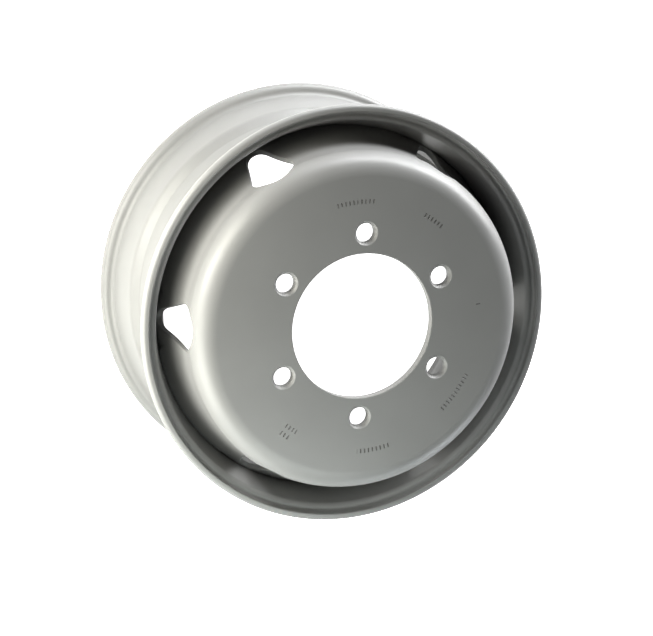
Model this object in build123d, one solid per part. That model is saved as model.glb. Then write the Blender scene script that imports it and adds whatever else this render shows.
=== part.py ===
from build123d import *
import math
import os

# Steel disc wheel for a tubeless tyre, millimetres. The wheel lies on its rear flange:
# the axis is +Z, Z = 0 is the rear flange's edge and the disc's outer face looks up.

# Rim, the sizes of a 17.5 by 6.75 rim with 15 degree bead seats
BEAD_DIAMETER = 444.5
WIDTH_BETWEEN_FLANGES = 171.5
FLANGE_HEIGHT = 12.75
FLANGE_WIDTH = 13.25
SEAT_TAPER = 15.0
RIM_SHEET = 5.5

# Flange: rolled lip, thicker than the sheet it grows from
LIP_THICKNESS = 8.2
LIP_OUTER_RADIUS = 4.5
LIP_INNER_RADIUS = 1.8
FLANGE_RADIUS = 7.5
SEAT_CORNER_RADIUS = 6.5
CURL_RADIUS = 3.5
THROAT_RADIUS = 6.0

# Drop centre well between the seats: a plain front wall, and at the rear a step and a ramp
FRONT_SEAT_LENGTH = 58.75
REAR_SEAT_LENGTH = 38.0
WELL_DEPTH = 27.75
FRONT_WALL_SLOPE = 45.0
STEP_SLOPE = 50.0
RAMP_RISE = 8.0
RAMP_LENGTH = 20.0
WALL_TOP_RADIUS = 12.0
WELL_RADIUS = 8.0
RAMP_RADIUS = 30.0
STEP_FOOT_RADIUS = 4.0
STEP_TOP_RADIUS = 9.0

# Disc: flat nave, rounded shoulder, skirt that flares out to the rim and ends in a land. Its
# rear edge stops short of the front seat's end and its skirt stands in from the seat there.
FACE_OFFSET = 38.0
NAVE_THICKNESS = 10.0
SHOULDER_RADIUS = 25.2
SKIRT_GAP = 13.86
SKIRT_THICKNESS = 6.0
FLARE_RADIUS = 117.0
WELD_ROOM = 8.0
CROWN_RADIUS = 5.0
DISC_EDGE_RADIUS = 1.0

# Holes in the nave
BORE_DIAMETER = 161.0
BORE_EDGE_RADIUS = 1.0
STUD_COUNT = 6
STUD_CIRCLE = 205.0
STUD_HOLE = 21.5
STUD_CHAMFER = 2.5
FIRST_STUD_ANGLE = 90.0

# Hand holes in the skirt, egg shaped with the wide end towards the face. The narrow end stops
# just above the corner where the flare meets the land.
VENT_COUNT = 6
FIRST_VENT_ANGLE = 0.0
VENT_WIDE_RADIUS = 25.0
VENT_WIDE_DEPTH = 40.0
VENT_NARROW_RADIUS = 13.0
VENT_TO_CROWN = 0.25
VENT_EDGE_RADIUS = 1.2

# Valve hole in the floor of the well, and the weld bead behind the disc's edge
VALVE_HOLE = 9.8
VALVE_ANGLE = 300.0
WELD_LEG = 5.0
WELD_BULGE = 1.2

# Worked out from the driving dimensions
WIDTH = WIDTH_BETWEEN_FLANGES + 2 * FLANGE_WIDTH
SEAT_RADIUS = BEAD_DIAMETER / 2
OUTER_RADIUS = SEAT_RADIUS + FLANGE_HEIGHT
FACE_Z = WIDTH + FACE_OFFSET
NAVE_Z = FACE_Z - NAVE_THICKNESS
FLOOR_RADIUS = SEAT_RADIUS - WELL_DEPTH
DISC_EDGE_Z = WIDTH - FLANGE_WIDTH - FRONT_SEAT_LENGTH + WELD_ROOM
TAPER = math.tan(math.radians(SEAT_TAPER))
SEAT_SHEET = RIM_SHEET / math.cos(math.radians(SEAT_TAPER))
LAND_EDGE_RADIUS = SEAT_RADIUS - (FRONT_SEAT_LENGTH - WELD_ROOM) * TAPER - SEAT_SHEET
SKIRT_RADIUS = LAND_EDGE_RADIUS - SKIRT_GAP
FACE_RADIUS = SKIRT_RADIUS - SHOULDER_RADIUS


def inset(before, corner, after, distance):
    """Corner of a contour moved to the right hand side of its two lines, by distance from each."""
    first = (Vector(*corner) - Vector(*before)).normalized()
    second = (Vector(*after) - Vector(*corner)).normalized()
    right = Vector(first.Y, -first.X)
    next_right = Vector(second.Y, -second.X)
    bisector = (right + next_right).normalized()
    moved = Vector(*corner) + bisector * (distance / bisector.dot(right))
    return moved.X, moved.Y


def well_points():
    """Tyre side corners from the front flange's face to the rear flange's face."""
    face = WIDTH - FLANGE_WIDTH
    front_end = (SEAT_RADIUS - FRONT_SEAT_LENGTH * TAPER, face - FRONT_SEAT_LENGTH)
    floor = FLOOR_RADIUS
    front_drop = (front_end[0] - floor) / math.tan(math.radians(FRONT_WALL_SLOPE))
    rear_end = (SEAT_RADIUS - REAR_SEAT_LENGTH * TAPER, FLANGE_WIDTH + REAR_SEAT_LENGTH)
    step_run = (rear_end[0] - floor - RAMP_RISE) / math.tan(math.radians(STEP_SLOPE))
    step_foot = (floor + RAMP_RISE, rear_end[1] + step_run)
    return [
        (OUTER_RADIUS, face),
        (SEAT_RADIUS, face),
        front_end,
        (floor, front_end[1] - front_drop),
        (floor, step_foot[1] + RAMP_LENGTH),
        step_foot,
        rear_end,
        (SEAT_RADIUS, FLANGE_WIDTH),
        (OUTER_RADIUS, FLANGE_WIDTH),
    ]


def rim_section():
    """Rim's section in the (radius, height) plane: tyre side contour, lips and inner contour."""
    tyre = well_points()
    inner = [inset(*tyre[i - 1:i + 2], RIM_SHEET) for i in range(1, len(tyre) - 1)]
    lip = OUTER_RADIUS - LIP_THICKNESS
    points = [(OUTER_RADIUS, WIDTH)] + tyre + [(OUTER_RADIUS, 0), (lip, 0), (lip, inner[-1][1])]
    points += inner[::-1] + [(lip, inner[0][1]), (lip, WIDTH)]
    tyre_radii = [
        FLANGE_RADIUS,
        SEAT_CORNER_RADIUS,
        WALL_TOP_RADIUS,
        WELL_RADIUS,
        RAMP_RADIUS,
        STEP_FOOT_RADIUS,
        STEP_TOP_RADIUS,
        SEAT_CORNER_RADIUS,
        FLANGE_RADIUS,
    ]
    inner_radii = [
        THROAT_RADIUS,
        WALL_TOP_RADIUS - RIM_SHEET,
        WELL_RADIUS + RIM_SHEET,
        RAMP_RADIUS + RIM_SHEET,
        STEP_FOOT_RADIUS + RIM_SHEET,
        STEP_TOP_RADIUS - RIM_SHEET,
        THROAT_RADIUS,
    ]
    radii = [LIP_OUTER_RADIUS] + tyre_radii + [LIP_OUTER_RADIUS, LIP_INNER_RADIUS, CURL_RADIUS]
    radii += inner_radii[::-1] + [CURL_RADIUS, LIP_INNER_RADIUS]
    return make_face(FilletPolyline(*points, radius=radii, close=True).edges())


def flare_end(radius, offset):
    """Where an arc of the flare, drawn with the given radius, meets the rim's inner cone
    moved towards the axis by offset."""
    cone_top = inset(*well_points()[:3], RIM_SHEET)
    centre = Vector(SKIRT_RADIUS + FLARE_RADIUS, FACE_Z - SHOULDER_RADIUS)
    start = Vector(*cone_top) - Vector(offset / math.cos(math.radians(SEAT_TAPER)), 0)
    along = Vector(-math.sin(math.radians(SEAT_TAPER)), -math.cos(math.radians(SEAT_TAPER)))
    gap = start - centre
    half = gap.dot(along)
    run = -half + math.sqrt(half * half - gap.dot(gap) + radius * radius)
    meet = start + along * run
    edge = start + along * ((start.Y - DISC_EDGE_Z) / -along.Y)
    middle = centre + ((meet - centre).normalized() + Vector(-1, 0)).normalized() * radius
    return meet, middle, edge


def disc_section():
    """Disc's section: nave, shoulder, flare and the land that lies on the rim's inner cone."""
    bore = BORE_DIAMETER / 2
    face = FACE_RADIUS
    outer = SKIRT_RADIUS
    inner = outer - SKIRT_THICKNESS
    level = FACE_Z - SHOULDER_RADIUS
    inner_radius = NAVE_Z - level
    diagonal = math.sqrt(0.5)
    meet, middle, edge = flare_end(FLARE_RADIUS, 0)
    meet_in, middle_in, edge_in = flare_end(FLARE_RADIUS + SKIRT_THICKNESS, SKIRT_THICKNESS)
    shoulder = (face + SHOULDER_RADIUS * diagonal, level + SHOULDER_RADIUS * diagonal)
    inner_shoulder = (inner + inner_radius * (diagonal - 1), level + inner_radius * diagonal)
    edges = [
        Edge.make_line((bore, FACE_Z), (face, FACE_Z)),
        Edge.make_three_point_arc((face, FACE_Z), shoulder, (outer, level)),
        Edge.make_three_point_arc((outer, level), middle, meet),
        Edge.make_line(meet, edge),
        Edge.make_line(edge, edge_in),
        Edge.make_line(edge_in, meet_in),
        Edge.make_three_point_arc(meet_in, middle_in, (inner, level)),
        Edge.make_three_point_arc((inner, level), inner_shoulder, (inner - inner_radius, NAVE_Z)),
        Edge.make_line((inner - inner_radius, NAVE_Z), (bore, NAVE_Z)),
        Edge.make_line((bore, NAVE_Z), (bore, FACE_Z)),
    ]
    section = make_face(edges)
    for corner, radius in (
        (meet, CROWN_RADIUS),
        (edge, DISC_EDGE_RADIUS),
        (edge_in, DISC_EDGE_RADIUS),
        ((bore, FACE_Z), BORE_EDGE_RADIUS),
        ((bore, NAVE_Z), BORE_EDGE_RADIUS),
    ):
        section = rounded(section, corner, radius)
    return section


def rounded(section, corner, radius):
    """Section with the corner nearest to the given point rounded."""
    point = Vector(*corner)
    return fillet(section.vertices().sort_by_distance(point)[0], radius)


def turned(section):
    """Solid of revolution about Z from a section drawn as (radius, height). Its seam is turned
    to lie between two hand holes."""
    seam = FIRST_VENT_ANGLE + 180 / VENT_COUNT
    return Rot(0, 0, seam) * revolve(Plane.XZ * section, Axis.Z, 360)


def vent_span():
    """Heights of a hand hole's lower and upper end."""
    meet, middle, edge = flare_end(FLARE_RADIUS, 0)
    return meet.Y + VENT_TO_CROWN, FACE_Z - VENT_WIDE_DEPTH + VENT_WIDE_RADIUS


def vent_cutter():
    """Radial cutter for one hand hole, on the +X side: the hull of a wide and a narrow circle."""
    low, high = vent_span()
    circles = Sketch() + [
        Pos(0, high - VENT_WIDE_RADIUS) * Circle(VENT_WIDE_RADIUS),
        Pos(0, low + VENT_NARROW_RADIUS) * Circle(VENT_NARROW_RADIUS),
    ]
    inside = FACE_RADIUS - SHOULDER_RADIUS
    return extrude(Plane.YZ.offset(inside) * make_hull(circles.edges()), OUTER_RADIUS - inside)


def stud_cutter():
    """Cutter for one stud hole at the top of the stud circle's +X side, chamfered at the face."""
    hole = Cylinder(STUD_HOLE / 2, 3 * NAVE_THICKNESS)
    mouth = Cone(STUD_HOLE / 2, STUD_HOLE / 2 + STUD_CHAMFER, STUD_CHAMFER)
    level = FACE_Z - STUD_CHAMFER / 2
    return Pos(STUD_CIRCLE / 2, 0, NAVE_Z) * hole + Pos(STUD_CIRCLE / 2, 0, level) * mouth


def around(shape, first, count):
    """Copies of a shape spaced evenly about Z, the first turned by the angle first."""
    return [Rot(0, 0, first + i * 360 / count) * shape for i in range(count)]


def pressed_disc():
    """Disc with its stud holes and its hand holes, the hand holes' edges eased."""
    disc = turned(disc_section())
    disc -= around(stud_cutter(), FIRST_STUD_ANGLE, STUD_COUNT)
    disc -= around(vent_cutter(), FIRST_VENT_ANGLE, VENT_COUNT)
    low, high = vent_span()
    rims = disc.edges().filter_by(GeomType.BSPLINE)
    return fillet([e for e in rims if low <= e.center().Z <= high], VENT_EDGE_RADIUS)


def rolled_rim():
    """Rim with the valve hole drilled through the floor of the well."""
    floor_top = well_points()[3][1]
    floor_foot = well_points()[4][1]
    drill = Rot(0, 90, 0) * Cylinder(VALVE_HOLE / 2, 4 * RIM_SHEET)
    drill = Pos(FLOOR_RADIUS - RIM_SHEET / 2, 0, (floor_top + floor_foot) / 2) * drill
    return turned(rim_section()) - Rot(0, 0, VALVE_ANGLE) * drill


def edge_weld(disc, rim):
    """Bead in the corner between the disc's rear edge and the rim's inner cone."""
    meet, middle, edge = flare_end(FLARE_RADIUS, 0)
    along = Vector(-math.sin(math.radians(SEAT_TAPER)), -math.cos(math.radians(SEAT_TAPER)))
    foot = edge + along * WELD_LEG
    toe = edge - Vector(WELD_LEG, 0)
    middle = (foot + toe) / 2
    bulge = middle + (middle - edge).normalized() * WELD_BULGE
    foot_root = foot + Vector(RIM_SHEET / 2, 0)
    toe_root = toe + Vector(0, DISC_EDGE_RADIUS)
    root = edge + Vector(RIM_SHEET / 2, DISC_EDGE_RADIUS)
    edges = [
        Edge.make_three_point_arc(toe, bulge, foot),
        Edge.make_line(foot, foot_root),
        Edge.make_line(foot_root, root),
        Edge.make_line(root, toe_root),
        Edge.make_line(toe_root, toe),
    ]
    return turned(make_face(edges)) - disc - rim


rim = rolled_rim()
disc = pressed_disc()
disc_weld = edge_weld(disc, rim)

os.makedirs("parts", exist_ok=True)
for name, shape in (("rim", rim), ("disc", disc), ("disc_weld", disc_weld)):
    shape.label = name
    export_step(shape, f"parts/{name}.step")
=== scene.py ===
import math

import bpy
import numpy as np
from mathutils import Matrix


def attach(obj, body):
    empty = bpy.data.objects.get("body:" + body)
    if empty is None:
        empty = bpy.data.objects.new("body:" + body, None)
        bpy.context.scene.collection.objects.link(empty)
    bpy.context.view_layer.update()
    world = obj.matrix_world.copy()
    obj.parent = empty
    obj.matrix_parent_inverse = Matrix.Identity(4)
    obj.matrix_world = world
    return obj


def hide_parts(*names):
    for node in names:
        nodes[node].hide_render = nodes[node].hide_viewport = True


# A steel disc wheel that lies on its rear flange with its axis up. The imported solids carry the
# sizes; the pieces made here are the same sections, turned as even grids, so that light runs
# over them without a break. Lengths are in millimetres until a mesh is made.
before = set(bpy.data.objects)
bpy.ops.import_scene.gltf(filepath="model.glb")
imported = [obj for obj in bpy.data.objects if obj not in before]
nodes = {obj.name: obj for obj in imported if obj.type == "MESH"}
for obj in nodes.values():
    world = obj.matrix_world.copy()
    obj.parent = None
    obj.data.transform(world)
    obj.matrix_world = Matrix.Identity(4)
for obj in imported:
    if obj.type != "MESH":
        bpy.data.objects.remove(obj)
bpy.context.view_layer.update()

# Millimetres in a metre, columns of a section's points, and columns of the grids round the wheel
METRE = 1000.0
RADIUS, HEIGHT = 0, 1
TURNS = 360

# Rim
WIDTH = 198.0
OUTER_RADIUS = 235.0
SEAT_RADIUS = 222.25
FLANGE_WIDTH = 13.25
TAPER = math.radians(15.0)
RIM_SHEET = 5.5
LIP_THICKNESS = 8.2
LIP_OUTER_RADIUS = 4.5
LIP_INNER_RADIUS = 1.8
FLANGE_RADIUS = 7.5
SEAT_CORNER_RADIUS = 6.5
CURL_RADIUS = 3.5
THROAT_RADIUS = 6.0
WELL_FLOOR = 194.5
FRONT_SEAT_LENGTH = 58.75
REAR_SEAT_LENGTH = 38.0
STEP_SLOPE = math.radians(50.0)
RAMP_RISE = 8.0
RAMP_LENGTH = 20.0
WALL_TOP_RADIUS = 12.0
WELL_RADIUS = 8.0
RAMP_RADIUS = 30.0
STEP_FOOT_RADIUS = 4.0
STEP_TOP_RADIUS = 9.0
VALVE_RADIUS = 4.9
VALVE_ANGLE = 300.0
VALVE_EDGE_RADIUS = 0.4

# Disc
FACE_Z = 236.0
NAVE_Z = 226.0
BORE_RADIUS = 80.5
BORE_EDGE_RADIUS = 1.0
FACE_RADIUS = 163.9
SHOULDER_RADIUS = 25.2
SKIRT_THICKNESS = 6.0
FLARE_RADIUS = 117.0
CROWN_RADIUS = 5.0
DISC_EDGE_Z = 134.0
DISC_EDGE_RADIUS = 1.0
HOLE_COUNT = 6
STUD_CIRCLE_RADIUS = 102.5
STUD_RADIUS = 10.75
STUD_CHAMFER = 2.5
VENT_WIDE_RADIUS = 25.0
VENT_WIDE_Z = 196.0
VENT_NARROW_RADIUS = 13.0
VENT_NARROW_Z = 162.0
VENT_EDGE_RADIUS = 1.2
SHOULDER_Z = FACE_Z - SHOULDER_RADIUS
FLARE_CENTRE = (FACE_RADIUS + SHOULDER_RADIUS + FLARE_RADIUS, SHOULDER_Z)

# Weld bead: the root is how far its hidden back edge lies inside the metal, the bend is in radians
WELD_LEG = 5.0
WELD_BULGE = 1.2
WELD_ROOT = 0.6
WELD_COLUMNS = 1800
WELD_ROWS = 9
RIPPLE_LENGTH = 4.0
RIPPLE_HEIGHT = 0.35
RIPPLE_BEND = 2.4

# Windows left out of the grids for the holes: half widths in degrees, and the rows' radii (studs),
# heights (vents) or heights from the hole's centre (valve). Other rows keep clear of a window.
STUD_HALF_WINDOW = 9
VENT_HALF_WINDOW = 10
VALVE_HALF_WINDOW = 3
STUD_WINDOW = np.linspace(86.5, 118.5, 9)
VENT_WINDOW = np.concatenate([
    np.arange(224.5, 211, -1.5), np.arange(210, 152, -3), np.arange(151, 143, -0.75)
])
VALVE_WINDOW = np.arange(9, -10, -3.0)
ROW_CLEARANCE = 0.4

# Rings of the holes: shares of the way from window to hole and through the sheet, the blend's end
# in edge radii outside the outline, and angles round the edge
BLEND_SHARES = (0.3, 0.55, 0.75, 0.9, 1.0)
FLAT_SHARES = (0.35, 0.65, 0.88)
WALL_SHARES = (0.08, 0.35, 0.65, 0.92)
BLEND_END = 1.6
EDGE_TURNS = np.radians((0, 22.5, 45, 67.5, 90))

# Stretches of the sections, in mm of arc length. The face ends within FACE_REACH of the start, and
# the nave's rear lies from NAVE_REACH to BORE_REACH before the end, REAR_LENGTH of it in use. The
# gaps are where no window may lie: after the face, behind the disc's edge, from the front lip to
# the well, and beside the lips on the inner side.
FACE_REACH = 90.0
NAVE_REACH = 100.0
BORE_REACH = 9.6
REAR_LENGTH = 80.0
FACE_GAP = 1.0
EDGE_GAP = 4.0
FRONT_GAP = 60.0
LIP_GAP = 20.0

# Stamps, as rows of plain ticks: middle angle from -180 to 180 degrees, radius, angle covered.
# The pitch and the half width of a tick are angles in radians. The band is how far from the face's
# height, in metres, ticks may stand. The bump is stronger than a real stamp, so that they show.
TICK_ROWS = [
    (95.4, 137.0, 18.2),
    (55.5, 137.5, 11.4),
    (8.0, 136.5, 1.9),
    (-36.5, 140.0, 20.3),
    (-82.7, 141.5, 15.8),
    (-127.0, 144.5, 5.7),
    (-125.5, 134.8, 7.6),
]
TICK_PITCH = 0.033
TICK_HALF_WIDTH = 0.0055
TICK_HALF_HEIGHT = 2.4
FACE_BAND = 0.002
TICK_BUMP = 0.004


def line(start, end, spacing=14.0, margin=0.5):
    """Straight part of a section: (points, whether each is a grid row). Rows stand close to both
    ends, so that a round corner's shading stays in the corner."""
    start, end = np.asarray(start, float), np.asarray(end, float)
    length = np.linalg.norm(end - start)
    margin = min(margin, length / 4)
    steps = max(2, math.ceil((length - 2 * margin) / spacing) + 1)
    t = np.concatenate(([0], np.linspace(margin, length - margin, steps), [length])) / length
    return start + (end - start) * t[:, None], np.ones(len(t), bool)


def arc(centre, radius, start, end, row_every=8.0, fine=15):
    """Round part of a section from angle start to angle end in degrees, a grid row at least every
    row_every degrees and `fine` points for each row."""
    rows = max(3, math.ceil(abs(end - start) / row_every))
    angle = np.radians(np.linspace(start, end, rows * fine + 1))
    points = np.asarray(centre, float) + radius * np.stack([np.cos(angle), np.sin(angle)], -1)
    return points, np.arange(len(angle)) % fine == 0


def corner_arc(before, corner, after, radius):
    """Arc of the given radius that is tangent to both sides of a corner."""
    before, corner, after = (np.asarray(p, float) for p in (before, corner, after))
    a = (before - corner) / np.linalg.norm(before - corner)
    b = (after - corner) / np.linalg.norm(after - corner)
    half = math.acos(np.clip(a @ b, -1, 1)) / 2
    centre = corner + (a + b) / np.linalg.norm(a + b) * radius / math.sin(half)
    from_centre = corner + a * radius / math.tan(half) - centre
    to = corner + b * radius / math.tan(half) - centre
    start = math.degrees(math.atan2(from_centre[1], from_centre[0]))
    turn = math.degrees(math.atan2(np.cross(from_centre, to), from_centre @ to))
    return arc(centre, radius, start, start + turn)


def rounded_polygon(corners, radii):
    """Parts of a closed polygon with every corner rounded: arc, straight, arc, straight."""
    neighbours = zip(corners[-1:] + corners[:-1], corners, corners[1:] + corners[:1], radii)
    arcs = [corner_arc(*corner) for corner in neighbours]
    parts = []
    for here, following in zip(arcs, arcs[1:] + arcs[:1]):
        parts += [here, line(here[0][-1], following[0][0])]
    return parts


def inset(before, corner, after, distance):
    """Corner of a section moved to the right of its two sides, by distance from each."""
    before, corner, after = (np.asarray(p, float) for p in (before, corner, after))
    a = (corner - before) / np.linalg.norm(corner - before)
    b = (after - corner) / np.linalg.norm(after - corner)
    right, next_right = np.array([a[1], -a[0]]), np.array([b[1], -b[0]])
    bisector = (right + next_right) / np.linalg.norm(right + next_right)
    return corner + bisector * distance / (bisector @ right)


class Section:
    """Closed section in the (radius, height) plane, met by its arc length s. A point of the turned
    surface is (r(s) cos a, r(s) sin a, z(s)). Points that coincide are dropped."""

    def __init__(self, parts):
        points = np.concatenate([p for p, _ in parts])
        rows = np.concatenate([r for _, r in parts])
        step = np.linalg.norm(np.diff(points, axis=0), axis=1)
        keep = np.concatenate(([True], step > 1e-7))
        self.points, rows = points[keep], rows[keep]
        step = np.linalg.norm(np.diff(self.points, axis=0), axis=1)
        self.s = np.concatenate(([0], np.cumsum(step)))
        self.length = self.s[-1] + np.linalg.norm(self.points[0] - self.points[-1])
        self.rows = self.s[rows]

    def at(self, s):
        """Radius and height at arc length s."""
        closed = np.append(self.s, self.length)
        ring = np.vstack([self.points, self.points[:1]])
        s = np.mod(s, self.length)
        return np.interp(s, closed, ring[:, RADIUS]), np.interp(s, closed, ring[:, HEIGHT])

    def find(self, column, values, branch):
        """Arc lengths where the stretch branch = (from s, to s) has these values in the column,
        RADIUS or HEIGHT, which rise or fall steadily along it."""
        inside = (self.s >= branch[0]) & (self.s <= branch[1])
        known, s = self.points[inside, column], self.s[inside]
        order = np.argsort(known)
        return np.interp(values, known[order], s[order])

    def set_rows(self, values):
        """Puts grid rows at these arc lengths, in place of the ones between and close to their ends."""
        low, high = min(values), max(values)
        outside = (self.rows < low - ROW_CLEARANCE) | (self.rows > high + ROW_CLEARANCE)
        others = self.rows[outside]
        self.rows = np.sort(np.concatenate([others, values]))


def turned(section, angle, s):
    """Point of the turned surface at an angle in radians and an arc length."""
    r, z = section.at(s)
    return np.stack([r * np.cos(angle), r * np.sin(angle), z + 0 * angle], -1)


def border(first, last, near, far):
    """Closed walk round a window of the grid, from column first to last and row near to far:
    two arrays, its columns and its rows."""
    across = np.arange(first, last)
    step = 1 if far > near else -1
    down = np.arange(near, far, step)
    wide, tall = len(across), len(down)
    columns = [across, np.full(tall, last), across[::-1] + 1, np.full(tall, first)]
    rows = [np.full(wide, near), down, np.full(wide, far), down[::-1] + step]
    return np.concatenate(columns), np.concatenate(rows)


def turned_piece(name, section, holes, material):
    """Mesh of a turned section, a grid of TURNS columns by the section's rows. Each hole is a
    window left out on the outside and on the inside, and rings of points that join the two."""
    s = section.rows
    column_angle = np.linspace(0, 2 * math.pi, TURNS, endpoint=False)
    grid = turned(section, column_angle[None, :], s[:, None] + 0 * column_angle[None, :])
    index = np.arange(grid.shape[0] * TURNS).reshape(grid.shape[0], TURNS)
    solid = np.ones(index.shape, bool)
    vertices = [grid.reshape(-1, 3)]
    faces = []
    count = index.size
    for hole in holes:
        loops = []
        for near, far in (hole["outside"], hole["inside"]):
            low, high = min(near, far), max(near, far)
            window = np.arange(hole["columns"][0], hole["columns"][1]) % TURNS
            solid[low:high, window] = False
            columns, rows = border(*hole["columns"], near, far)
            loops.append((columns, rows))
        (columns, rows), (in_columns, in_rows) = loops
        angle, in_angle = np.radians(columns * 360.0 / TURNS), np.radians(in_columns * 360.0 / TURNS)
        rings = hole["rings"](angle, s[rows], in_angle, s[in_rows])
        size = len(columns)
        ring_index = count + np.arange(len(rings) * size).reshape(len(rings), size)
        count += ring_index.size
        vertices.append(np.concatenate(rings))
        chain = np.vstack([index[rows, columns % TURNS], ring_index, index[in_rows, in_columns % TURNS]])
        after = np.roll(chain, -1, axis=1)
        faces.append(np.stack([chain[:-1], chain[1:], after[1:], after[:-1]], -1).reshape(-1, 4))
    below, right = np.roll(index, -1, axis=0), np.roll(index, -1, axis=1)
    corner = np.roll(below, -1, axis=1)
    faces.append(np.stack([index, below, corner, right], -1)[solid])
    return piece(name, np.concatenate(vertices), np.concatenate(faces), material)


def piece(name, vertices, faces, material):
    """Smooth mesh object at the origin from vertices in millimetres and quads, unused points left
    out, riding on the wheel."""
    used, packed = np.unique(faces, return_inverse=True)
    mesh = bpy.data.meshes.new(name)
    mesh.from_pydata((vertices[used] / METRE).tolist(), [], packed.reshape(faces.shape).tolist())
    mesh.validate()
    mesh.shade_smooth()
    mesh.materials.append(material)
    made = bpy.data.objects.new(name, mesh)
    bpy.context.scene.collection.objects.link(made)
    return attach(made, "root")


def circle_reach(radius):
    """Outline of a round hole, as distance from its centre at an angle, grown by d."""
    return lambda angle, d: radius + d + 0 * angle


def egg_reach(angle, d):
    """Outline of a hand hole, grown by d: distance at an angle from the wide circle's centre to the
    hull of the wide and the narrow circle. It is the wide circle above, the common tangent beside
    and the narrow circle below. The clip only keeps the tangent's unused part finite."""
    wide, narrow = VENT_WIDE_RADIUS + d, VENT_NARROW_RADIUS + d
    apart = VENT_WIDE_Z - VENT_NARROW_Z
    lean = math.asin((VENT_WIDE_RADIUS - VENT_NARROW_RADIUS) / apart)
    from_below = np.abs((angle + math.pi / 2 + math.pi) % (2 * math.pi) - math.pi)
    tangent_at = math.pi / 2 - lean
    touch = math.atan2(narrow * math.cos(lean), apart + narrow * math.sin(lean))
    flank = wide / np.cos(np.clip(tangent_at - from_below, -1.5, 1.5))
    foot = apart * np.cos(from_below) + np.sqrt(
        np.maximum(narrow**2 - (apart * np.sin(from_below)) ** 2, 0)
    )
    return np.where(from_below > tangent_at, wide, np.where(from_below > touch, flank, foot))


def radial_hole(section, outer, inner, at, height, reach, edge):
    """Rings of a hole bored towards the axis at the angle `at`. Its outline lies in the plane of
    (sideways, height). Rings run over the outside from the window to the outline, round its
    edge, through the sheet, round the inner edge and back over the inside to the window."""
    at = math.radians(at)

    def local(sideways, z, branch, depth):
        s = section.find(HEIGHT, z, branch)
        r, _ = section.at(s)
        forward = np.sqrt(r**2 - sideways**2) - depth
        return np.stack([
            forward * math.cos(at) - sideways * math.sin(at),
            forward * math.sin(at) + sideways * math.cos(at),
            z,
        ], -1)

    def rings(angle, s, in_angle, in_s):
        r, z = section.at(s)
        bearing = np.arctan2(z - height, r * np.sin(angle - at))

        def outline(d):
            length = reach(bearing, d)
            return length * np.cos(bearing), height + length * np.sin(bearing)

        def over(branch, border_angle, border_s, share):
            sideways, z_out = outline(edge * BLEND_END)
            end_s = section.find(HEIGHT, z_out, branch)
            end_angle = at + np.arcsin(sideways / section.at(end_s)[0])
            mixed_angle = border_angle + (end_angle - border_angle) * share
            return turned(section, mixed_angle, border_s + (end_s - border_s) * share)

        def rounded(branch, side):
            steps = [(edge * (1 - math.sin(t)), side * edge * (1 - math.cos(t))) for t in EDGE_TURNS]
            return [local(*outline(wider), branch, deeper) for wider, deeper in steps]

        outside = [over(outer, angle, s, share) for share in BLEND_SHARES] + rounded(outer, 1)
        inside = [over(inner, in_angle, in_s, share) for share in BLEND_SHARES] + rounded(inner, -1)
        first, last = outside[-1], inside[-1]
        wall = [first + (last - first) * share for share in WALL_SHARES]
        return outside + wall + inside[::-1]

    return rings


def stud_hole(section, at):
    """Rings of one stud hole through the flat nave: over the face from the window to the mouth,
    down its chamfer and the plain hole, and out over the rear to the window. Each ring is a circle
    (centre + radius times unit vector), and the outer ones blend into the window's border."""
    at = math.radians(at)
    centre = STUD_CIRCLE_RADIUS * np.array([math.cos(at), math.sin(at)])
    mouth = STUD_RADIUS + STUD_CHAMFER

    def rings(angle, s, in_angle, in_s):
        r, _ = section.at(s)
        window = np.stack([r * np.cos(angle), r * np.sin(angle)], -1) - centre
        in_r, _ = section.at(in_s)
        in_window = np.stack([in_r * np.cos(in_angle), in_r * np.sin(in_angle)], -1) - centre
        unit = window / np.linalg.norm(window, axis=1, keepdims=True)

        def ring(radius, z):
            return np.column_stack([centre + unit * radius, np.full(len(unit), z)])

        def blend(start, radius, z, share):
            flat = start + (unit * radius - start) * share
            return np.column_stack([centre + flat, np.full(len(unit), z)])

        mouth_rings = ((0.4, 0), (0.15, 0.02), (-0.05, 0.12), (-0.3, 0.37), (-1.25, 1.25))
        bore_rings = ((0.3, 2.2), (0.06, 2.5), (0, 2.9), (0, 6))
        rear_rings = ((0, 0.6), (0.1, 0.15), (0.4, 0))
        made = [blend(window, mouth + mouth_rings[0][0], FACE_Z, share) for share in FLAT_SHARES]
        made += [ring(mouth + wider, FACE_Z - deeper) for wider, deeper in mouth_rings]
        made += [ring(STUD_RADIUS + wider, FACE_Z - deeper) for wider, deeper in bore_rings]
        made += [ring(STUD_RADIUS + wider, NAVE_Z + higher) for wider, higher in rear_rings]
        last = STUD_RADIUS + rear_rings[-1][0]
        made += [blend(in_window, last, NAVE_Z, share) for share in FLAT_SHARES[::-1]]
        return made

    return rings


def tyre_side():
    """Corners of the rim's tyre side, from the front flange's face to the rear flange's."""
    face = WIDTH - FLANGE_WIDTH
    front_end = (SEAT_RADIUS - FRONT_SEAT_LENGTH * math.tan(TAPER), face - FRONT_SEAT_LENGTH)
    rear_end = (SEAT_RADIUS - REAR_SEAT_LENGTH * math.tan(TAPER), FLANGE_WIDTH + REAR_SEAT_LENGTH)
    foot = rear_end[1] + (rear_end[0] - WELL_FLOOR - RAMP_RISE) / math.tan(STEP_SLOPE)
    return [
        (OUTER_RADIUS, face),
        (SEAT_RADIUS, face),
        front_end,
        (WELL_FLOOR, front_end[1] - (front_end[0] - WELL_FLOOR)),
        (WELL_FLOOR, foot + RAMP_LENGTH),
        (WELL_FLOOR + RAMP_RISE, foot),
        rear_end,
        (SEAT_RADIUS, FLANGE_WIDTH),
        (OUTER_RADIUS, FLANGE_WIDTH),
    ]


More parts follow.
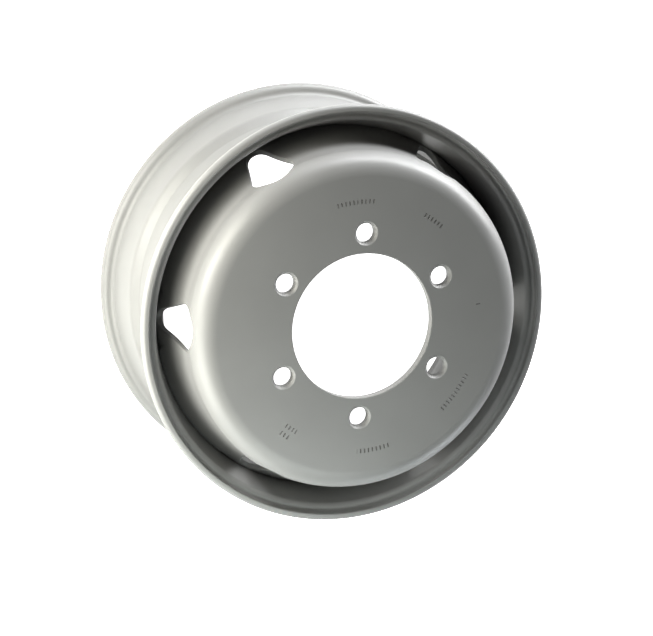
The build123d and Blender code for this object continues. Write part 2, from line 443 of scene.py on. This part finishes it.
def rim_section():
    """Rim's section: tyre side, rear lip, inner side and front lip, in that order."""
    tyre = tyre_side()
    inner = [tuple(inset(*tyre[i - 1:i + 2], RIM_SHEET)) for i in range(1, len(tyre) - 1)]
    lip = OUTER_RADIUS - LIP_THICKNESS
    corners = [(OUTER_RADIUS, WIDTH)] + tyre + [(OUTER_RADIUS, 0), (lip, 0), (lip, inner[-1][1])]
    corners += inner[::-1] + [(lip, inner[0][1]), (lip, WIDTH)]
    tyre_radii = [
        FLANGE_RADIUS,
        SEAT_CORNER_RADIUS,
        WALL_TOP_RADIUS,
        WELL_RADIUS,
        RAMP_RADIUS,
        STEP_FOOT_RADIUS,
        STEP_TOP_RADIUS,
        SEAT_CORNER_RADIUS,
        FLANGE_RADIUS,
    ]
    inner_radii = [
        THROAT_RADIUS,
        WALL_TOP_RADIUS - RIM_SHEET,
        WELL_RADIUS + RIM_SHEET,
        RAMP_RADIUS + RIM_SHEET,
        STEP_FOOT_RADIUS + RIM_SHEET,
        STEP_TOP_RADIUS - RIM_SHEET,
        THROAT_RADIUS,
    ]
    radii = [LIP_OUTER_RADIUS] + tyre_radii + [LIP_OUTER_RADIUS, LIP_INNER_RADIUS, CURL_RADIUS]
    radii += inner_radii[::-1] + [CURL_RADIUS, LIP_INNER_RADIUS]
    return Section(rounded_polygon(corners, radii))


def flare_meets(radius, offset):
    """Where the flare, drawn with the given radius, meets the rim's inner cone moved towards the
    axis by offset."""
    tyre = tyre_side()
    start = inset(*tyre[:3], RIM_SHEET) - np.array([offset / math.cos(TAPER), 0])
    along = -np.array([math.sin(TAPER), math.cos(TAPER)])
    gap = start - np.array(FLARE_CENTRE)
    half = gap @ along
    return start + along * (-half + math.sqrt(half * half - gap @ gap + radius * radius))


def cone_at(offset, z):
    """Point at height z on the rim's inner cone moved towards the axis by offset."""
    start = inset(*tyre_side()[:3], RIM_SHEET) - np.array([offset / math.cos(TAPER), 0])
    return start - np.array([math.tan(TAPER), 1]) * (start[1] - z)


def bearing_of(point, centre):
    """Angle in degrees at which a point stands from a centre, from 0 to 360."""
    return math.degrees(math.atan2(point[1] - centre[1], point[0] - centre[0])) % 360


def disc_section():
    """Disc's section: face, shoulder, flare, crown and land on the outside, then the edge and back
    along the inside to the bore. The last number of each part is its spacing of rows, in degrees
    for an arc and in mm for a line."""
    inner_radius = NAVE_Z - SHOULDER_Z
    inner_edge = FACE_RADIUS + SHOULDER_RADIUS - SKIRT_THICKNESS
    crown = flare_meets(FLARE_RADIUS + CROWN_RADIUS, CROWN_RADIUS)
    crown_start = bearing_of(FLARE_CENTRE, crown)
    crown_end = crown + CROWN_RADIUS * np.array([math.cos(TAPER), -math.sin(TAPER)])
    outer_corner, inner_corner = cone_at(0, DISC_EDGE_Z), cone_at(SKIRT_THICKNESS, DISC_EDGE_Z)
    crease = flare_meets(FLARE_RADIUS + SKIRT_THICKNESS, SKIRT_THICKNESS)
    outer_round = corner_arc(crown_end, outer_corner, inner_corner, DISC_EDGE_RADIUS)
    inner_round = corner_arc(outer_corner, inner_corner, crease, DISC_EDGE_RADIUS)
    bore = BORE_RADIUS + BORE_EDGE_RADIUS
    bore_top, bore_foot = FACE_Z - BORE_EDGE_RADIUS, NAVE_Z + BORE_EDGE_RADIUS
    return Section([
        arc((bore, bore_top), BORE_EDGE_RADIUS, 180, 90, 15),
        line((bore, FACE_Z), (FACE_RADIUS, FACE_Z), 6),
        arc((FACE_RADIUS, SHOULDER_Z), SHOULDER_RADIUS, 90, 0, 3),
        arc(FLARE_CENTRE, FLARE_RADIUS, 180, bearing_of(crown, FLARE_CENTRE), 2),
        arc(crown, CROWN_RADIUS, crown_start, -15, 6),
        line(crown_end, outer_round[0][0], 3),
        outer_round,
        line(outer_round[0][-1], inner_round[0][0], 3),
        inner_round,
        line(inner_round[0][-1], crease, 3),
        arc(FLARE_CENTRE, FLARE_RADIUS + SKIRT_THICKNESS, bearing_of(crease, FLARE_CENTRE), 180, 2),
        arc((inner_edge - inner_radius, SHOULDER_Z), inner_radius, 0, 90, 4),
        line((inner_edge - inner_radius, NAVE_Z), (bore, NAVE_Z), 6),
        arc((bore, bore_foot), BORE_EDGE_RADIUS, 270, 180, 15),
        line((BORE_RADIUS, bore_foot), (BORE_RADIUS, bore_top), 4),
    ])


def window_rows(section, column, values, outer, inner):
    """Gives the section rows at these heights or radii on its outside and inside, and returns the
    function that afterwards finds the row numbers of both windows."""
    outside, inside = section.find(column, values, outer), section.find(column, values, inner)
    section.set_rows(outside)
    section.set_rows(inside)

    def numbers():
        ends = (outside[0], outside[-1], inside[0], inside[-1])
        found = [np.abs(section.rows - s).argmin() for s in ends]
        return (found[0], found[1]), (found[2], found[3])

    return numbers


def columns_round(at, half_width):
    """Columns of the window that reaches half_width degrees to both sides of an angle."""
    return round((at - half_width) * TURNS / 360), round((at + half_width) * TURNS / 360)


def hole_at(at, half_window, numbers, rings):
    """Hole for turned_piece round an angle: its window's columns, its window's row numbers on the
    outside and the inside, and the function that gives its rings."""
    outside, inside = numbers()
    columns = columns_round(at, half_window)
    return {"columns": columns, "outside": outside, "inside": inside, "rings": rings}


def make_disc(material):
    """Pressed disc with six stud holes and six hand holes. Four stretches of its section are used:
    the face, the skirt's outside and inside, and the rear of the nave."""
    section = disc_section()
    radii, heights = section.points.T
    bore = BORE_RADIUS + BORE_EDGE_RADIUS
    far = section.s[heights.argmin()]
    top = section.length
    face_start = section.s[np.abs(radii - bore).argmin()]
    face = (face_start, section.find(RADIUS, [FACE_RADIUS], (0, FACE_REACH))[0])
    rear_end = section.find(RADIUS, [bore], (top - NAVE_REACH, top - BORE_REACH))[0]
    rear = (rear_end - REAR_LENGTH, rear_end)
    outer = (face[1] + FACE_GAP, far)
    inner = (far + EDGE_GAP, rear[0])
    stud_rows = window_rows(section, RADIUS, STUD_WINDOW, face, rear)
    vent_rows = window_rows(section, HEIGHT, VENT_WINDOW, outer, inner)
    holes = []
    for i in range(HOLE_COUNT):
        at = (i + 0.5) * 360 / HOLE_COUNT
        holes.append(hole_at(at, STUD_HALF_WINDOW, stud_rows, stud_hole(section, at)))
        at = i * 360 / HOLE_COUNT
        rings = radial_hole(section, outer, inner, at, VENT_WIDE_Z, egg_reach, VENT_EDGE_RADIUS)
        holes.append(hole_at(at, VENT_HALF_WINDOW, vent_rows, rings))
    return turned_piece("pressed_disc", section, holes, material)


def make_rim(material):
    """Rolled rim with its valve hole in the floor of the well."""
    section = rim_section()
    turn = section.s[section.points[:, HEIGHT].argmin()]
    height = (tyre_side()[3][1] + tyre_side()[4][1]) / 2
    outer, inner = (FRONT_GAP, turn), (turn + LIP_GAP, section.length - LIP_GAP)
    rows = window_rows(section, HEIGHT, height + VALVE_WINDOW, outer, inner)
    outline = circle_reach(VALVE_RADIUS)
    rings = radial_hole(section, outer, inner, VALVE_ANGLE, height, outline, VALVE_EDGE_RADIUS)
    hole = hole_at(VALVE_ANGLE, VALVE_HALF_WINDOW, rows, rings)
    return turned_piece("rolled_rim", section, [hole], material)


def make_weld(material):
    """Weld bead behind the disc's edge: a bulged arc from the disc to the rim, carried round the
    wheel, with curved ripples as the weld pool leaves them. At a share of the way across it swells
    by the sine of pi times the share, times the bulge less the ripple's height times one minus the
    crest. The crest is a cosine along the wheel, bent most in the middle of the bead."""
    edge = cone_at(0, DISC_EDGE_Z)
    foot = cone_at(0, DISC_EDGE_Z - WELD_LEG * math.cos(TAPER))
    toe = edge - np.array([WELD_LEG, 0])
    around = np.linspace(0, 2 * math.pi, WELD_COLUMNS, endpoint=False)
    angle, share = np.meshgrid(around, np.linspace(0, 1, WELD_ROWS), indexing="ij")
    ripples = round(2 * math.pi * edge[0] / RIPPLE_LENGTH)
    crest = 0.5 + 0.5 * np.cos(ripples * angle + RIPPLE_BEND * np.cos(math.pi * (share - 0.5)))
    swell = np.sin(math.pi * share) * (WELD_BULGE - RIPPLE_HEIGHT + RIPPLE_HEIGHT * crest)
    middle = (foot + toe) / 2
    outward = (middle - edge) / np.linalg.norm(middle - edge)
    r = toe[0] + (foot[0] - toe[0]) * share + outward[0] * swell
    z = toe[1] + (foot[1] - toe[1]) * share + outward[1] * swell
    bead = np.stack([r * np.cos(angle), r * np.sin(angle), z], -1)
    root = edge + WELD_ROOT
    first = angle[:, :1]
    back = np.stack([root[0] * np.cos(first), root[0] * np.sin(first), root[1] + 0 * first], -1)
    points = np.concatenate([bead, back], axis=1)
    index = np.arange(points.shape[0] * points.shape[1]).reshape(points.shape[:2])
    on, across = np.roll(index, -1, axis=0), np.roll(index, -1, axis=1)
    faces = np.stack([index, across, np.roll(on, -1, axis=1), on], -1).reshape(-1, 4)
    return piece("weld_bead", points.reshape(-1, 3), faces, material)


def linear(colour):
    """sRGB hex colour as linear red, green, blue and alpha."""
    parts = [int(colour[i:i + 2], 16) / 255 for i in (1, 3, 5)]
    return [p / 12.92 if p <= 0.04045 else ((p + 0.055) / 1.055) ** 2.4 for p in parts] + [1.0]


def node(tree, kind, settings=(), links=(), values=(), **sockets):
    """Adds a node: settings are its properties, sockets its input values by name with _ for a
    space, values are (input, value) pairs for inputs known by number, and links are (input,
    output socket) pairs."""
    made = tree.nodes.new(kind)
    for name, value in dict(settings).items():
        setattr(made, name, value)
    for name, value in sockets.items():
        made.inputs[name.replace("_", " ")].default_value = value
    for which, value in values:
        made.inputs[which].default_value = value
    for which, source in links:
        tree.links.new(made.inputs[which], source)
    return made


def new_material(name):
    """Empty material with its output node: (material, tree, output)."""
    made = bpy.data.materials.new(name)
    made.use_nodes = True
    made.node_tree.nodes.clear()
    return made, made.node_tree, made.node_tree.nodes.new("ShaderNodeOutputMaterial")


def struck_ticks(tree, place):
    """Height of the stamps: 1 in a tick and 0 beside it. The ticks are short radial strokes, spaced
    evenly by angle, and show only where a row's windows of angle and radius meet on the disc's
    face."""
    kind = "ShaderNodeMath"
    compare, multiply = [("operation", "COMPARE")], [("operation", "MULTIPLY")]
    parts = node(tree, "ShaderNodeSeparateXYZ", links=[("Vector", place)]).outputs
    axis = node(tree, "ShaderNodeCombineXYZ", links=[("X", parts["X"]), ("Y", parts["Y"])]).outputs[0]
    radius = node(tree, "ShaderNodeVectorMath", [("operation", "LENGTH")], [(0, axis)]).outputs["Value"]
    angle = node(tree, kind, [("operation", "ARCTAN2")], [(0, parts["Y"]), (1, parts["X"])]).outputs[0]
    total = None
    for middle, row_radius, covered in TICK_ROWS:
        angle_limits = [(1, math.radians(middle)), (2, math.radians(covered / 2))]
        radius_limits = [(1, row_radius / METRE), (2, TICK_HALF_HEIGHT / METRE)]
        beside = node(tree, kind, compare, [(0, angle)], angle_limits).outputs[0]
        across = node(tree, kind, compare, [(0, radius)], radius_limits).outputs[0]
        row = node(tree, kind, multiply, [(0, beside), (1, across)]).outputs[0]
        if total is not None:
            row = node(tree, kind, [("operation", "ADD")], [(0, total), (1, row)]).outputs[0]
        total = row
    pitch = [(1, TICK_PITCH / 2)]
    off_stroke = node(tree, kind, [("operation", "PINGPONG")], [(0, angle)], pitch).outputs[0]
    stroke = node(
        tree, "ShaderNodeMapRange", links=[("Value", off_stroke)],
        From_Min=TICK_HALF_WIDTH / 2, From_Max=TICK_HALF_WIDTH, To_Min=1.0, To_Max=0.0,
    ).outputs["Result"]
    face_limits = [(1, FACE_Z / METRE), (2, FACE_BAND)]
    on_face = node(tree, kind, compare, [(0, parts["Z"])], face_limits).outputs[0]
    in_rows = node(tree, kind, multiply, [(0, total), (1, stroke)]).outputs[0]
    return node(tree, kind, multiply, [(0, in_rows), (1, on_face)]).outputs[0]


def stoved_enamel():
    """Wheel enamel: light grey stoving paint sprayed over primed steel. It gives a smooth, half
    glossy coat with a slightly uneven tone and gloss, which drift over some 70 mm, and the faint
    waves of sprayed paint, 2.4 mm apart."""
    made, tree, output = new_material("light grey stoving enamel")
    place = node(tree, "ShaderNodeTexCoord").outputs["Object"]
    vector = [("Vector", place)]
    drift = node(tree, "ShaderNodeTexNoise", links=vector, Scale=14.0, Detail=2.0, Roughness=0.5)
    tone = node(tree, "ShaderNodeValToRGB", links=[("Fac", drift.outputs["Fac"])])
    tone.color_ramp.elements[0].color = linear("#989897")
    tone.color_ramp.elements[1].color = linear("#9E9E9D")
    peel = node(tree, "ShaderNodeTexNoise", links=vector, Scale=420.0, Detail=1.0).outputs["Fac"]
    waves = node(tree, "ShaderNodeBump", links=[("Height", peel)], Strength=0.02, Distance=0.0004)
    ticks = struck_ticks(tree, place)
    heights = [("Height", ticks), ("Normal", waves.outputs["Normal"])]
    bump = node(tree, "ShaderNodeBump", [("invert", True)], heights, Strength=1.0, Distance=TICK_BUMP)
    # Painted shade: inside the stamps' ticks the enamel is mixed to the darker #7A7A77, standing in for
    # the shade in their struck recesses.
    coat_with_stamp_shade = node(
        tree, "ShaderNodeMixRGB", links=[("Fac", ticks), ("Color1", tone.outputs["Color"])],
        Color2=linear("#7A7A77"),
    )
    gloss = node(
        tree, "ShaderNodeMapRange", links=[("Value", drift.outputs["Fac"])],
        To_Min=0.36, To_Max=0.42,
    )
    shader = node(
        tree, "ShaderNodeBsdfPrincipled",
        links=[
            ("Base Color", coat_with_stamp_shade.outputs["Color"]),
            ("Roughness", gloss.outputs["Result"]),
            ("Normal", bump.outputs["Normal"]),
        ],
        Metallic=0.0, IOR=1.5,
    )
    tree.links.new(output.inputs["Surface"], shader.outputs["BSDF"])
    return made


enamel = stoved_enamel()
disc = make_disc(enamel)
rim = make_rim(enamel)
weld = make_weld(enamel)
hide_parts("disc")
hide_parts("rim")
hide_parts("disc_weld")
for solid in nodes.values():
    solid.data.materials.clear()
    solid.data.materials.append(enamel)


# Studio: how strongly the table glows as the camera sees it, as the wheel gets it, and as the wheel
# gets it from the pool in the middle, which fades out between two distances in metres; then half
# the table's side, the point that the lights face, and the display's gamma
TABLE_SEEN = 1.2
TABLE_GLOW = 0.54
POOL_GLOW = 1.7
POOL_EDGE = (0.1, 0.2)
TABLE_HALF = 6.0
AIM = [0, 0, 0.2]
DISPLAY_GAMMA = 0.714

# Softboxes: name, azimuth, lower and upper elevation and width in degrees, distance in m, power in
# watts and colour
LIGHTS = [
    ("far", 30, 0, 18, 30, 1.5, 16.0, "#FFFFFF"),
    ("far", 45, 0, 18, 15, 1.5, 5.8, "#FDFEFF"),
    ("far", 60, 0, 18, 30, 1.5, 13.2, "#FDFEFF"),
    ("far", 75, 0, 18, 15, 1.5, 3.8, "#FDFEFF"),
    ("far", 90, 0, 18, 30, 1.5, 4.3, "#F6F8FF"),
    ("far", 300, 0, 18, 30, 1.5, 2.8, "#F4F8FF"),
    ("far", 315, 0, 18, 15, 1.5, 3.7, "#F8FBFF"),
    ("near", 150, 0, 30, 29, 0.6, 2.75, "#FFFDF4"),
    ("near", 165, 0, 15, 15, 0.6, 0.6, "#FDFEFF"),
    ("near", 180, 0, 30, 29, 0.6, 1.3, "#FFFEF8"),
    ("near", 210, 0, 30, 29, 0.6, 2.0, "#FFFFF9"),
    ("near", 225, 15, 45, 36, 0.6, 0.35, "#FFFDF4"),
    ("near", 240, 0, 30, 29, 0.6, 0.95, "#F9FEFD"),
    ("near", 270, 30, 60, 32, 0.6, 1.65, "#F8FEFC"),
]

# Camera: its place, its lens and sensor width in mm, and the directions of its right, up and back
EYE = (-0.6921, 0.4798, 1.9807)
LENS = 98.975
SENSOR = 36.0
EYE_RIGHT = (0.9394, 0.0315, 0.3414)
EYE_UP = (0.0546, 0.9693, -0.2396)
EYE_BACK = (-0.3385, 0.2437, 0.9089)


def floor():
    """Plain pale floor, a large square sheet that glows as a lit studio table does. It is seen as
    pure white and lights the wheel with part of that, more strongly under the disc."""
    made, tree, output = new_material("white studio table")
    seen = node(tree, "ShaderNodeLightPath").outputs["Is Camera Ray"]
    place = node(tree, "ShaderNodeTexCoord").outputs["Object"]
    away = node(tree, "ShaderNodeVectorMath", [("operation", "LENGTH")], [("Vector", place)])
    pool = node(
        tree, "ShaderNodeMapRange", links=[("Value", away.outputs["Value"])],
        From_Min=POOL_EDGE[0], From_Max=POOL_EDGE[1], To_Min=POOL_GLOW, To_Max=TABLE_GLOW,
    )
    glow = node(
        tree, "ShaderNodeMapRange", links=[("Value", seen), ("To Min", pool.outputs["Result"])],
        To_Max=TABLE_SEEN,
    )
    shader = node(
        tree, "ShaderNodeBsdfPrincipled", links=[("Emission Strength", glow.outputs["Result"])],
        Base_Color=linear("#E7E7E7"), Emission_Color=linear("#FFFFFF"), Roughness=0.7,
    )
    tree.links.new(output.inputs["Surface"], shader.outputs["BSDF"])
    mesh = bpy.data.meshes.new("studio_table")
    corners = [(x * TABLE_HALF, y * TABLE_HALF, 0) for x, y in ((-1, -1), (1, -1), (1, 1), (-1, 1))]
    mesh.from_pydata(corners, [], [(0, 1, 2, 3)])
    mesh.materials.append(made)
    sheet = bpy.data.objects.new("studio_table", mesh)
    bpy.context.scene.collection.objects.link(sheet)


def softbox(name, azimuth, low, high, width, distance, power, colour):
    """Flat area light at an azimuth round the wheel, from elevation low to high and width degrees
    wide, facing the middle of the wheel."""
    middle = math.radians((low + high) / 2)
    turn = math.radians(azimuth)
    level = math.cos(middle)
    back = np.array([level * math.cos(turn), level * math.sin(turn), math.sin(middle)])
    light = bpy.data.lights.new(name, "AREA")
    light.shape = "RECTANGLE"
    light.size = 2 * distance * math.tan(math.radians(width / 2))
    light.size_y = 2 * distance * math.tan(math.radians((high - low) / 2))
    light.energy = power
    light.color = linear(colour)[:3]
    lamp = bpy.data.objects.new(name, light)
    right = np.array([-math.sin(turn), math.cos(turn), 0])
    turned_to = Matrix(np.column_stack([right, np.cross(back, right), back]).tolist())
    lamp.matrix_world = Matrix.Translation((back * distance + AIM).tolist()) @ turned_to.to_4x4()
    lamp.visible_camera = False
    bpy.context.scene.collection.objects.link(lamp)


def set_camera():
    """Camera at the photograph's place and angle."""
    camera = bpy.data.cameras.new("camera")
    camera.lens = LENS
    camera.sensor_width = SENSOR
    eye = bpy.data.objects.new("camera", camera)
    turned_to = Matrix((EYE_RIGHT, EYE_UP, EYE_BACK)).transposed().to_4x4()
    eye.matrix_world = Matrix.Translation(EYE) @ turned_to
    bpy.context.scene.collection.objects.link(eye)
    bpy.context.scene.camera = eye


floor()
for name, azimuth, *numbers in LIGHTS:
    softbox(f"{name} card {azimuth}", azimuth, *numbers)
set_camera()

# The world is white where the camera sees it and gives no light of its own.
world = bpy.data.worlds.new("studio")
world.use_nodes = True
background = world.node_tree.nodes["Background"]
background.inputs["Color"].default_value = (1, 1, 1, 1)
seen = node(world.node_tree, "ShaderNodeLightPath").outputs["Is Camera Ray"]
world.node_tree.links.new(background.inputs["Strength"], seen)
bpy.context.scene.world = world
bpy.context.scene.view_settings.view_transform = "Standard"
bpy.context.scene.view_settings.gamma = DISPLAY_GAMMA
